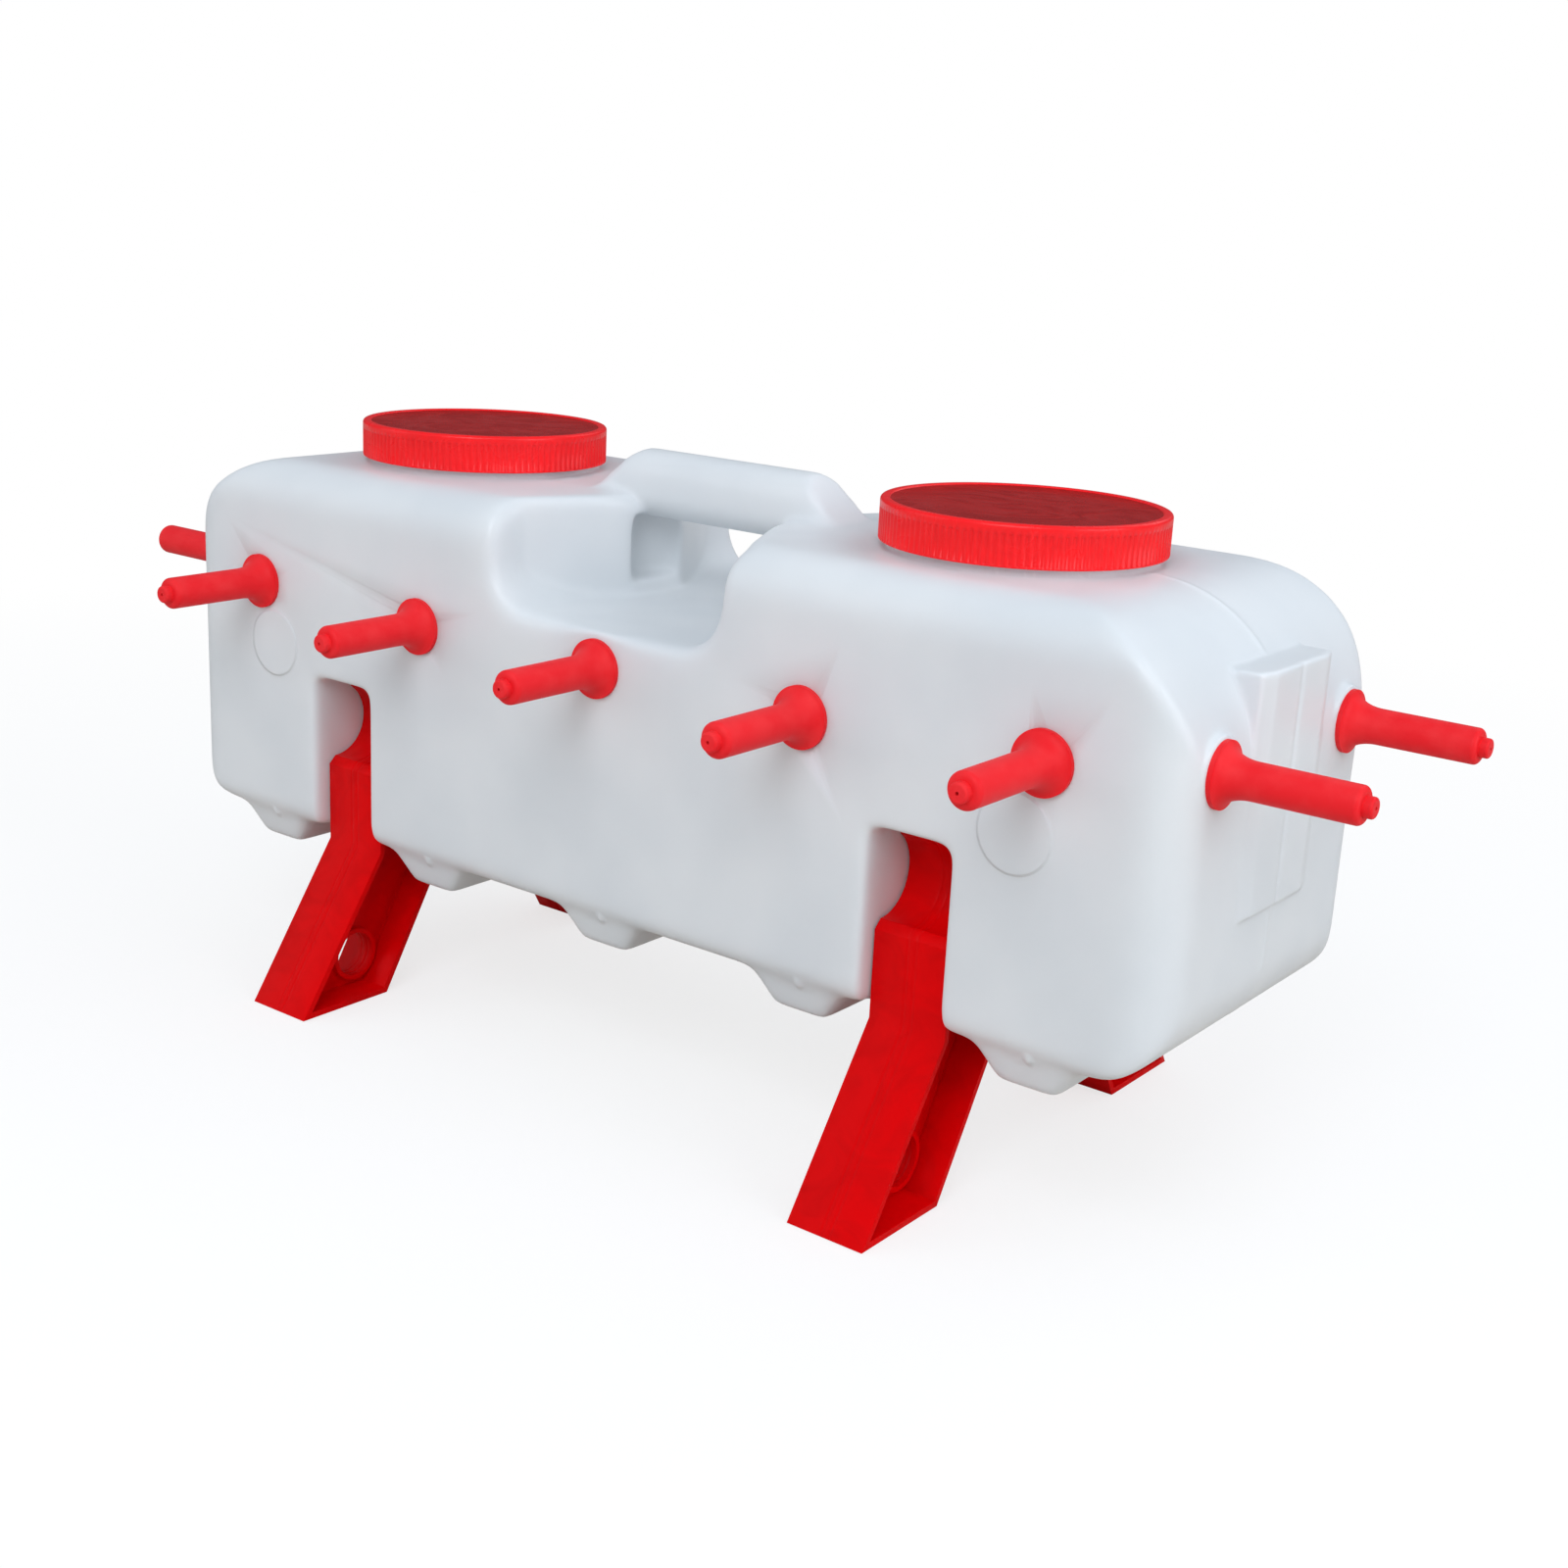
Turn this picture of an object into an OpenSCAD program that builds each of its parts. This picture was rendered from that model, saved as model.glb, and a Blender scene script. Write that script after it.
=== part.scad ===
// Multi teat lamb feeder: a blow-moulded tank on four drop-out legs, with two screw
// lids, a carry handle over a saddle, and rubber teats fed by rigid dip tubes.
// Origin: on the ground below the middle of the tank. X runs along the tank,
// -Y is the front and +Z is up.

/* [Tank] */
// Distance from one teat to the next along the long sides
teat_pitch = 150; // [145:1:160]
// Length of the tank without its teats
tank_l = 758; // [750:1:800]
// Depth of the tank from its front wall to its back wall
tank_d = 234; // [228:1:250]
// Height of the flat underside above the ground
base_z = 108; // [100:1:115]
// Height of the flat top above the ground
top_z = 350; // [346:1:358]
// Thickness of the moulded wall
wall = 3; // [2.5:0.1:4]
// Radius of the top corners at both ends
end_top_r = 85; // [60:1:90]
// Radius of the bottom corners at both ends
end_bottom_r = 44; // [25:1:46]
// Radius of the upright corners
corner_r = 30; // [20:1:32]
// Radius along the top edge at the front
top_edge_r = 28; // [15:1:35]
// Radius along the top edge at the back
back_edge_r = 14; // [10:1:28]
// Radius along the bottom edges at the front and back
bottom_edge_r = 12; // [6:1:16]

/* [Sumps] */
// Depth of each sump below the underside
sump_h = 20; // [12:1:24]
// Width of a sump at the underside
sump_w = 64; // [56:1:70]
// Width of a sump at its bottom
sump_bottom_w = 36; // [28:1:44]
// Length of a sump across the tank, at the underside
sump_run = 60; // [50:1:66]
// Slope of a sump's front and back faces, as a setback at the bottom
sump_setback = 6; // [3:1:9]
// Gap from the front wall to the sump's front face
sump_inset = 6; // [4:1:10]

/* [Saddle and handle] */
// Height of the saddle floor
saddle_z = 286; // [278:1:292]
// Half width of the saddle at the top
saddle_half_w = 88; // [84:1:96]
// Half width of the saddle beside the handle, where its sides come closer
saddle_waist = 54; // [50:1:60]
// Radius from the saddle floor up to its sides
saddle_r = 30; // [20:1:36]
// Radius where a saddle side turns over onto the tank top
saddle_lip_r = 14; // [8:1:18]
// Height of the handle's top
handle_top_z = 377; // [372:1:380]
// Height of the grip from its underside to its top
handle_h = 42; // [36:1:44]
// Width of the grip from front to back
handle_w = 38; // [32:1:42]
// Half length of the handle's flat top
handle_flat = 66; // [55:1:72]
// Run of each sloped end of the handle
handle_slope = 40; // [34:1:46]

/* [Mouths and lids] */
// Distance of each mouth from the middle of the tank
mouth_x = 210.5; // [200:0.5:216]
// Inner diameter of a mouth
mouth_d = 140; // [130:1:144]
// Height of the neck's rim above the ground
rim_z = 371.7; // [368:0.1:372]
// Outer diameter of a lid
lid_d = 161.4; // [158:0.2:164]
// Height of a lid over its skirt
lid_h = 23.2; // [22:0.2:24]
// Thickness of a lid's top
lid_top_t = 4; // [3:0.1:5]
// Thickness of a lid's skirt
lid_skirt_t = 3.6; // [3:0.1:4.2]
// Depth of the shallow recess in a lid's top
lid_recess = 1; // [0.5:0.1:1.5]
// Radius of a lid's top edge
lid_edge_r = 2; // [1:0.5:3]
// Number of ribs round a lid's skirt
rib_count = 120; // [90:6:144]
// Depth of the flutes between those ribs
rib_h = 0.7; // [0.4:0.1:1]
// Height of the plain band above the ribs
rib_band = 5; // [4:0.5:8]
// Thickness of the flat seal under a lid
seal_t = 2; // [1.5:0.1:3]

/* [Legs] */
// Distance of each leg from the middle of the tank
leg_x = 224; // [222:1:226]
// Width of a leg
leg_w = 50; // [44:1:52]
// Thickness of the flange that runs round a leg
flange_t = 4; // [3:0.5:5]
// Thickness of the web inside the flange
web_t = 4; // [3:0.5:5]
// Distance of the toe from the middle of the tank
toe_y = 172; // [160:1:180]
// Distance of the heel from the middle of the tank
heel_y = 100; // [92:1:106]
// Distance of a leg's upright front face from the middle of the tank
face_y = 105; // [102:1:108]
// Distance of the shelf's rear end from the middle of the tank
shelf_y = 37; // [34:1:42]
// Height at which the front face turns outward to the toe
kink_z = 100; // [92:1:104]
// Diameter of the half-round rail recess
rail_d = 50; // [46:1:52]
// Height of the middle of the rail recess
rail_z = 182; // [178:1:186]
// Diameter of the round hole in the web
leg_hole_d = 30; // [24:1:31]
// Distance of that hole from the middle of the tank
leg_hole_y = 112; // [110:1:114]
// Height of that hole
leg_hole_z = 26; // [25:1:28]
// Outer diameter of the collar round that hole
collar_d = 36; // [34:1:38]
// Width of that collar across the leg
collar_w = 15; // [12:1:20]
// Play between a leg and each side of its slot
leg_play = 1; // [0.5:0.1:1.5]
// Gap between a leg's back plate and the slot's back wall
leg_back_gap = 0.5; // [0.3:0.1:1]

/* [Teats] */
// Height of the three middle teats on each long side
teat_z = 264; // [258:1:270]
// Height of the teats near the corners on the long sides
corner_teat_z = 270; // [262:1:272]
// Height of the teats on the ends
end_teat_z = 273; // [265:1:275]
// Extra distance of the corner teats beyond their sumps
corner_teat_shift = 1; // [0:1:6]
// Distance of the end teats from the middle of the end wall
end_teat_y = 78; // [74:1:82]
// Length of a teat outside the wall
teat_l = 79; // [70:1:84]
// Diameter of a teat's shaft
teat_d = 20; // [18:0.5:21]
// Diameter of a teat's flange on the wall
teat_flange_d = 35.5; // [32:0.5:38]
// Length of the flare from the flange to the shaft
teat_flare = 18; // [14:1:22]
// Diameter of a teat's bore
teat_bore_d = 13; // [11:0.5:14]
// Diameter of the waist that sits in the wall
teat_waist_d = 18; // [17:0.5:20]
// Diameter of the nub at the tip
nub_d = 11; // [9:0.5:12]
// Length of the nub at the tip
nub_l = 5; // [3:0.5:6]

/* [Valves and tubes] */
// Outer diameter of a dip tube
tube_d = 10; // [9:0.5:11]
// Bore of a dip tube
tube_bore_d = 7; // [6:0.5:8]
// Bend radius of a dip tube
tube_bend_r = 14; // [12:1:18]
// Gap between a tube's open end and the floor below it
tube_floor_gap = 5; // [4:0.5:8]
// Length of a valve body inside the teat
valve_l = 16; // [12:1:20]
// Play between parts that are pushed together
snug = 0.1; // [0.05:0.05:0.15]

/* [Hidden] */
$fn = 64;
SIDES = [-1, 1];
COLUMNS = [-2, -1, 0, 1, 2];
milky = [0.88, 0.89, 0.9];
red = [0.86, 0.08, 0.1];
dark_red = [0.75, 0.05, 0.06];
black = [0.12, 0.12, 0.12];
clear = [0.8, 0.84, 0.86];

half_l = tank_l / 2;
half_d = tank_d / 2;
// Slot for a leg, measured on the front wall
slot_w = leg_w + 2 * leg_play;
slot_back_y = 60;
slot_top_z = 213;
// Half length that an extrusion needs to reach past the whole tank
reach = tank_l;
// The upright corner arcs start this far past the end walls, so that they cross
// the top corner arcs instead of touching them
corner_past = 0.3;
inner_flange_t = 3;
inner_flange_d = teat_waist_d + 8;
lid_z = rim_z + seal_t + lid_top_t - lid_h;
neck_d = lid_d - 2 * lid_skirt_t - 3;
// Grip on the end walls: two upright ribs with a groove between them
ridge_half_w = 43;
ridge_face_half_w = 31;
ridge_out = 3.5;
ridge_groove = 3;
ridge_low_z = 186;
ridge_high_z = 318;
// Round disc at each side of the front wall
disc_x = 288;
disc_z = 230;
disc_d = 44;
disc_out = 0.8;
// Parting bead over the top and down the ends
bead_w = 2;
bead_out = 0.7;
bead_low_z = 150;
// Plan of the saddle's sides: how far from the middle plane they reach full width
// and where they stand closest, and the finger scoop in them under the handle
flare_y = half_d - 1;
waist_y = handle_w / 2 + 2;
scoop_x = saddle_waist - 6;
scoop_r = 24;
scoop_z = saddle_z + 10;
scoop_h = handle_top_z - handle_h + 3 - scoop_z;
// The one moulding is given as four pieces that meet face to face at plain cuts:
// two end blocks, the middle with the saddle, and the grip of the handle
cut_x = handle_flat + handle_slope + 10;
grip_cut_x = saddle_waist - 4;
grip_cut_z = handle_top_z - handle_h - 4;
// Rounded top corners of a leg slot, and how far the slots run past the front wall
slot_r = 6;
slot_past = 10;
// Depths of the pad and of the pocket behind an end teat
end_pad_depth = 14;
end_pocket_depth = 10;
// Leg details: the nose beside the tank, the step above the rail recess and the
// depth and slope of the lip below it
nose_back = 19;
nose_h = 18;
lip_back = 5;
leg_top_gap = 4;
// Teat details
teat_lip_t = 2.5;
teat_edge_r = 3;
nub_edge_r = 1.5;
feed_hole_d = 2;
end_wall_t = 4;
nipple_wall = 1.2;
nipple_d = tube_bore_d - 2 * snug;
valve_collar_t = 2;
nipple_l = 8;

// Places of the teats, each as the point on the wall and the turn about Z that
// points local -Y outward: first the front and back rows, then the two ends.
function row_x(column) = column * teat_pitch
    + (abs(column) == 2 ? sign(column) * corner_teat_shift : 0);
function row_z(column) = abs(column) == 2 ? corner_teat_z : teat_z;

module at_front(column) {
    translate([row_x(column), -half_d, row_z(column)]) children();
}

module at_back(column) {
    translate([row_x(column), half_d, row_z(column)]) rotate([0, 0, 180]) children();
}

module at_end(side, end_y) {
    translate([side * half_l, end_y, end_teat_z]) rotate([0, 0, side * 90]) children();
}

// An extrusion of a drawing in the XZ plane, from y0 to y1
module along_y(y0, y1) {
    translate([0, y1, 0]) rotate([90, 0, 0]) linear_extrude(y1 - y0) children();
}

// An extrusion of a drawing whose x is Y and whose y is Z, from x0 to x1
module along_x(x0, x1) {
    translate([x0, 0, 0]) rotate([90, 0, 90]) linear_extrude(x1 - x0) children();
}

// A box outline centred on x = 0, from low to high, with its own radius at the
// bottom corners and at the top corners
module block_outline(half_w, low, high, low_r, high_r) {
    translate([-half_w, low + low_r]) square([2 * half_w, high - high_r - low - low_r]);
    translate([-(half_w - low_r), low]) square([2 * (half_w - low_r), low_r + 0.01]);
    translate([-(half_w - high_r), high - high_r - 0.01])
        square([2 * (half_w - high_r), high_r + 0.01]);
    for (side = SIDES) {
        translate([side * (half_w - low_r), low + low_r]) circle(low_r);
        translate([side * (half_w - high_r), high - high_r]) circle(high_r);
    }
}

// The hollow above the saddle floor, grown outward by grow, with turned-over lips
module saddle_outline(at_half_w, grow) {
    half_w = at_half_w + grow;
    r = saddle_r + grow;
    floor_z = saddle_z - grow;
    sky = top_z + 60;
    difference() {
        union() {
            translate([-half_w, floor_z + r]) square([2 * half_w, sky - floor_z - r]);
            translate([-(half_w - r), floor_z]) square([2 * (half_w - r), r + 0.01]);
            for (side = SIDES) translate([side * (half_w - r), floor_z + r]) circle(r);
            translate([-half_w - saddle_lip_r, top_z - saddle_lip_r - grow])
                square([2 * (half_w + saddle_lip_r), sky - top_z]);
        }
        for (side = SIDES)
            translate([side * (half_w + saddle_lip_r), top_z - saddle_lip_r - grow])
                circle(saddle_lip_r);
    }
}

// The tank seen from its end: a wide radius along the front's top edge and a
// narrower one along the back's
module side_outline(inset) {
    block_outline(half_d - inset, base_z + inset, top_z - inset,
        bottom_edge_r - inset, top_edge_r - inset);
    intersection() {
        block_outline(half_d - inset, base_z + inset, top_z - inset,
            bottom_edge_r - inset, back_edge_r - inset);
        square([tank_d, 2 * top_z]);
    }
}

// The sides of the saddle where they lean in towards the handle, drawn in by inset
module saddle_wings(inset) {
    low = saddle_z - wall;
    intersection() {
        for (side = SIDES) mirror([side < 0 ? 1 : 0, 0, 0])
            translate([0, 0, low - inset]) linear_extrude(top_z - low)
                offset(delta = -inset) polygon([
                    [saddle_half_w + saddle_lip_r, -flare_y], [saddle_waist, -waist_y],
                    [saddle_waist, waist_y], [saddle_half_w + saddle_lip_r, flare_y]
                ]);
        along_y(-half_d, half_d) difference() {
            translate([-reach / 2, 0]) square([reach, top_z - inset]);
            saddle_outline(saddle_waist, inset);
        }
        along_x(-reach, reach) side_outline(inset);
    }
}

// A finger scoop in each side of the saddle under the handle, grown by grow
module scoops(grow) {
    for (side = SIDES) translate([side * scoop_x, 0, scoop_z - grow])
        cylinder(r = scoop_r + grow, h = scoop_h + 2 * grow);
}

// The tank's body as a solid, drawn in from the outer skin by inset
module tank_block(inset) {
    intersection() {
        along_y(-half_d + inset, half_d - inset)
            difference() {
                block_outline(half_l - inset, base_z + inset, top_z - inset,
                    end_bottom_r - inset, end_top_r - inset);
                saddle_outline(saddle_half_w, inset);
            }
        along_x(-reach, reach) side_outline(inset);
        linear_extrude(2 * top_z)
            translate([0, -half_d])
                block_outline(half_l + corner_past - inset, inset, tank_d - inset,
                    corner_r - inset, corner_r - inset);
    }
}

// One sump under a front teat, drawn in by inset. The part above the underside
// joins it to the tank's own space.
module sump(inset) {
    front = -half_d + sump_inset;
    rear = front + sump_run;
    bottom = base_z - sump_h + inset;
    intersection() {
        along_y(front, rear)
            polygon([
                [-sump_w / 2 + inset, base_z], [-sump_bottom_w / 2 + inset, bottom],
                [sump_bottom_w / 2 - inset, bottom], [sump_w / 2 - inset, base_z],
                [sump_w / 2 - inset, base_z + end_bottom_r],
                [-sump_w / 2 + inset, base_z + end_bottom_r]
            ]);
        along_x(-reach, reach)
            polygon([
                [front + inset, base_z], [front + sump_setback + inset, bottom],
                [rear - sump_setback - inset, bottom], [rear - inset, base_z],
                [rear - inset, base_z + end_bottom_r], [front + inset, base_z + end_bottom_r]
            ]);
    }
}

module all_sumps(inset) {
    for (column = COLUMNS) translate([column * teat_pitch, 0, 0]) {
        sump(inset);
        mirror([0, 1, 0]) sump(inset);
    }
}

// The grip tube over the saddle, drawn in by inset. Its sloped ends run down
// into the two blocks of the tank.
module handle(inset) {
    low = handle_top_z - handle_h + inset;
    high = handle_top_z - inset;
    r = handle_w / 2 - 1 - inset;
    foot = handle_flat + handle_slope;
    intersection() {
        along_x(-reach, reach)
            block_outline(handle_w / 2 - inset, low, high, r, r);
        along_y(-handle_w, handle_w)
            polygon([
                [-foot - 8, low], [-foot + inset / 2, top_z - 9],
                [-handle_flat + inset / 2, high], [handle_flat - inset / 2, high],
                [foot - inset / 2, top_z - 9], [foot + 8, low]
            ]);
    }
}

// The ribbed grip on an end wall, drawn in by inset
module end_ridge(side, inset) {
    out = half_l + ridge_out - inset;
    root = half_l - end_top_r;
    mirror([side < 0 ? 1 : 0, 0, 0])
        translate([0, 0, ridge_low_z + inset])
            linear_extrude(ridge_high_z - ridge_low_z - 2 * inset)
                polygon([
                    [root, -ridge_half_w + inset], [half_l, -ridge_half_w + inset],
                    [out, -ridge_face_half_w + inset], [out, -ridge_groove],
                    [out - ridge_groove / 2, 0], [out, ridge_groove],
                    [out, ridge_face_half_w - inset], [half_l, ridge_half_w - inset],
                    [root, ridge_half_w - inset]
                ]);
}

// The slot that takes the upper part of a leg, grown by grow
module leg_slot(side, row, grow) {
    w = slot_w + 2 * grow;
    high = slot_top_z + grow;
    low = base_z - slot_past;
    r = slot_r + grow;
    translate([side * leg_x, 0, 0]) mirror([0, row > 0 ? 1 : 0, 0])
        along_y(-half_d - slot_past, -slot_back_y + grow) {
            translate([-w / 2, low - sump_h]) square([w, high - r - low + sump_h]);
            translate([-w / 2 + r, high - r - 0.01]) square([w - 2 * r, r + 0.01]);
            for (edge = SIDES) translate([edge * (w / 2 - r), high - r]) circle(r);
        }
}

module all_slots(grow) {
    for (side = SIDES, row = SIDES) leg_slot(side, row, grow);
}

// Flat round pad behind an end teat, where the wall starts to curve
module end_pad(side, end_y) {
    translate([side * (half_l - end_pad_depth), end_y, end_teat_z])
        rotate([0, side * 90, 0]) cylinder(d = teat_flange_d + 4, h = end_pad_depth);
}

// Flat pocket inside that pad, which takes the teat's inner flange
module end_pocket(side, end_y) {
    x = side * (half_l - wall - end_pocket_depth);
    translate([x, end_y, end_teat_z]) rotate([0, side * 90, 0])
        cylinder(d = inner_flange_d + 2, h = end_pocket_depth);
}

module teat_hole() {
    rotate([90, 0, 0]) translate([0, 0, -teat_waist_d])
        cylinder(d = teat_waist_d + 2 * snug, h = 2 * teat_waist_d);
}

module teat_holes() {
    for (column = COLUMNS) {
        at_front(column) teat_hole();
        at_back(column) teat_hole();
    }
    for (side = SIDES, row = SIDES) at_end(side, row * end_teat_y) teat_hole();
}

module discs() {
    for (side = SIDES) translate([side * disc_x, -half_d + wall / 2, disc_z])
        rotate([90, 0, 0]) cylinder(d = disc_d, h = wall / 2 + disc_out);
}

// The parting bead, a thin band proud of the body from each mouth to the end
// grip and on down the end wall
module parting_bead() {
    along_y(-bead_w / 2, bead_w / 2) difference() {
        block_outline(half_l + bead_out, base_z, top_z + bead_out,
            end_bottom_r, end_top_r + bead_out);
        block_outline(half_l - wall / 2, base_z, top_z - wall / 2,
            end_bottom_r, end_top_r - wall / 2);
        translate([-mouth_x, 0]) square([2 * mouth_x, 2 * top_z]);
        translate([-reach, 0]) square([2 * reach, bead_low_z]);
    }
}

module tank() {
    color(milky) difference() {
        union() {
            difference() {
                union() {
                    difference() {
                        union() {
                            tank_block(0);
                            saddle_wings(0);
                        }
                        scoops(0);
                    }
                    for (side = SIDES) end_ridge(side, 0);
                    for (side = SIDES, row = SIDES) end_pad(side, row * end_teat_y);
                    handle(0);
                    all_sumps(0);
                    discs();
                    parting_bead();
                }
                all_slots(0);
            }
            // Necks of the two mouths
            for (side = SIDES) translate([side * mouth_x, 0, top_z - wall])
                cylinder(d = neck_d, h = rim_z - top_z + wall);
        }
        // The one hollow that holds the milk
        difference() {
            union() {
                difference() {
                    union() {
                        tank_block(wall);
                        saddle_wings(wall);
                    }
                    scoops(wall);
                }
                for (side = SIDES) end_ridge(side, wall);
                handle(wall);
                all_sumps(wall);
                for (side = SIDES, row = SIDES) end_pocket(side, row * end_teat_y);
            }
            all_slots(wall);
        }
        for (side = SIDES) translate([side * mouth_x, 0, top_z - 2 * wall])
            cylinder(d = mouth_d, h = rim_z - top_z + 3 * wall);
        teat_holes();
    }
}

module slab(x0, x1) {
    translate([x0, -tank_d, 0]) cube([x1 - x0, 2 * tank_d, 2 * top_z]);
}

module grip_space() {
    translate([-grip_cut_x, -handle_w, grip_cut_z]) cube([2 * grip_cut_x, 2 * handle_w, top_z]);
}

module tank_end(side) {
    intersection() {
        tank();
        slab(side < 0 ? -reach : cut_x, side < 0 ? -cut_x : reach);
    }
}

module tank_middle() {
    difference() {
        intersection() {
            tank();
            slab(-cut_x, cut_x);
        }
        grip_space();
    }
}

module grip() {
    intersection() {
        tank();
        grip_space();
    }
}

// The flutes between a lid's ribs: a ring round a star whose points reach past
// the skirt, so that the crests of the ribs stay on the round skirt
module flutes() {
    r = lid_d / 2;
    step = 360 / rib_count;
    crest_share = 0.22;
    valley = [0.42, 0.58];
    linear_extrude(lid_h - rib_band) difference() {
        circle(r + lid_skirt_t);
        polygon([
            for (rib = [0:rib_count - 1], corner = [0:3])
                let (
                    share = corner == 0 ? -crest_share : corner == 1 ? crest_share
                        : corner == 2 ? valley[0] : valley[1],
                    a = step * (rib + share),
                    reach_r = corner < 2 ? r + rib_h / 2 : r - rib_h
                )
                reach_r * [cos(a), sin(a)]
        ]);
    }
}

module lid(side) {
    r = lid_d / 2;
    inner_r = r - lid_skirt_t;
    color(red) translate([side * mouth_x, 0, lid_z]) difference() {
        rotate_extrude($fn = 96) difference() {
            union() {
                square([r, lid_h - lid_edge_r]);
                square([r - lid_edge_r, lid_h]);
                translate([r - lid_edge_r, lid_h - lid_edge_r]) intersection() {
                    circle(lid_edge_r);
                    square(lid_edge_r);
                }
            }
            translate([0, -1]) square([inner_r, lid_h - lid_top_t + 1]);
            translate([0, lid_h - lid_recess]) square([inner_r - lid_edge_r, lid_h]);
        }
        flutes();
    }
}

module seal(side) {
    color(clear) translate([side * mouth_x, 0, rim_z]) difference() {
        cylinder(d = neck_d, h = seal_t);
        translate([0, 0, -1]) cylinder(d = mouth_d, h = seal_t + 2);
    }
}

// Outline of a leg seen from the side: x is the distance behind the tank's middle
// plane and y is the height
module leg_outline() {
    back = -(slot_back_y + leg_back_gap);
    nose = -face_y + nose_back;
    lip_y = -face_y + lip_back;
    high = slot_top_z - leg_top_gap;
    lip = rail_z - rail_d / 2;
    difference() {
        polygon([
            [-toe_y, 0], [-heel_y, 0], [-shelf_y, base_z], [back, base_z], [back, high],
            [nose, high], [nose, rail_z + nose_h],
            [lip_y, rail_z], [lip_y, lip], [-face_y, lip - lip_back],
            [-face_y, kink_z]
        ]);
        translate([lip_y, rail_z]) circle(d = rail_d);
    }
}

module leg(side, row) {
    color(dark_red) translate([side * leg_x, 0, 0]) mirror([0, row > 0 ? 1 : 0, 0])
        difference() {
            union() {
                difference() {
                    along_x(-leg_w / 2, leg_w / 2) leg_outline();
                    along_x(-leg_w, leg_w) offset(delta = -flange_t) leg_outline();
                }
                along_x(-web_t / 2, web_t / 2) leg_outline();
                translate([-collar_w / 2, -leg_hole_y, leg_hole_z]) rotate([0, 90, 0])
                    cylinder(d = collar_d, h = collar_w);
            }
            translate([-leg_w, -leg_hole_y, leg_hole_z]) rotate([0, 90, 0])
                cylinder(d = leg_hole_d, h = 2 * leg_w);
        }
}

// A teat along local -Y, with its flange face on the wall at y = 0 and its
// waist and inner flange behind it
module teat() {
    r = teat_d / 2;
    flange_r = teat_flange_d / 2;
    flare_r = flange_r - r;
    shoulder = teat_l - nub_l;
    edge = teat_edge_r;
    tip = nub_edge_r;
    nub_r = nub_d / 2;
    color(red) rotate([90, 0, 0]) difference() {
        rotate_extrude() {
            // Inner flange and waist
            translate([0, -wall - inner_flange_t]) square([inner_flange_d / 2, inner_flange_t]);
            translate([0, -wall]) square([teat_waist_d / 2, wall]);
            // Flange lip and the hollow-sided flare
            square([flange_r, teat_lip_t]);
            difference() {
                translate([0, teat_lip_t - 0.01])
                    square([flange_r, teat_flare - teat_lip_t]);
                translate([flange_r, teat_flare]) scale([flare_r, teat_flare - teat_lip_t])
                    circle(1);
            }
            // Shaft, shoulder and nub
            square([r, shoulder - edge]);
            translate([0, shoulder - edge - 0.01]) square([r - edge, edge + 0.01]);
            translate([r - edge, shoulder - edge]) intersection() {
                circle(edge);
                square(edge);
            }
            translate([0, shoulder - 0.01]) square([nub_r, nub_l - tip]);
            translate([0, shoulder]) square([nub_r - tip, nub_l]);
            translate([nub_r - tip, teat_l - tip]) intersection() {
                circle(tip);
                square(tip);
            }
        }
        translate([0, 0, -wall - inner_flange_t - 1])
            cylinder(d = teat_bore_d, h = wall + inner_flange_t + 1 + shoulder - end_wall_t);
        // Feed hole through the nub
        cylinder(d = feed_hole_d, h = teat_l + 1);
    }
}

// A one-piece valve: a plug in the teat's bore with a collar against the inner
// flange, a nipple for the dip tube and a flow hole
module valve() {
    back = wall + inner_flange_t;
    color(black) rotate([90, 0, 0]) difference() {
        union() {
            translate([0, 0, -back]) cylinder(d = teat_bore_d - 2 * snug, h = valve_l);
            translate([0, 0, -back - valve_collar_t])
                cylinder(d = inner_flange_d - 4, h = valve_collar_t);
            translate([0, 0, -back - valve_collar_t - nipple_l])
                cylinder(d = nipple_d, h = nipple_l + 0.1);
        }
        translate([0, 0, -back - valve_collar_t - nipple_l - 1])
            cylinder(d = nipple_d - 2 * nipple_wall, h = teat_l);
    }
}

// A rigid dip tube from a valve down to foot_z, in the teat's own axes, where
// drop is the height of the teat above the tube's open end
module tube(drop) {
    start = wall + inner_flange_t + valve_collar_t;
    straight = nipple_l + 2;
    difference() {
        tube_run(tube_d, start, straight, drop, 0);
        tube_run(tube_bore_d, start, straight, drop, 1);
    }
}

module tube_run(d, start, straight, drop, past) {
    translate([0, start - past, 0]) rotate([-90, 0, 0]) cylinder(d = d, h = straight + past);
    translate([0, start + straight, -tube_bend_r]) rotate([0, -90, 0])
        rotate_extrude(angle = 90) translate([tube_bend_r, 0]) circle(d = d);
    translate([0, start + straight + tube_bend_r, -drop - past])
        cylinder(d = d, h = drop + past - tube_bend_r);
}

row_foot_z = base_z - sump_h + wall + tube_floor_gap;
end_foot_z = base_z + wall + tube_floor_gap + 1;

tank_end(-1);  // tank_left
tank_middle();
tank_end(1);  // tank_right
grip();
lid(-1);  // lid_left
lid(1);  // lid_right
seal(-1);  // seal_left
seal(1);  // seal_right
leg(-1, -1);  // leg_front_left
leg(1, -1);  // leg_front_right
leg(-1, 1);  // leg_back_left
leg(1, 1);  // leg_back_right

for (column = COLUMNS) {
    number = column + 3;
    drop = row_z(column) - row_foot_z;
    at_front(column) teat();
    at_back(column) teat();
    at_front(column) valve();
    at_back(column) valve();
    color(clear) at_front(column) tube(drop);
    color(clear) at_back(column) tube(drop);
}

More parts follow.
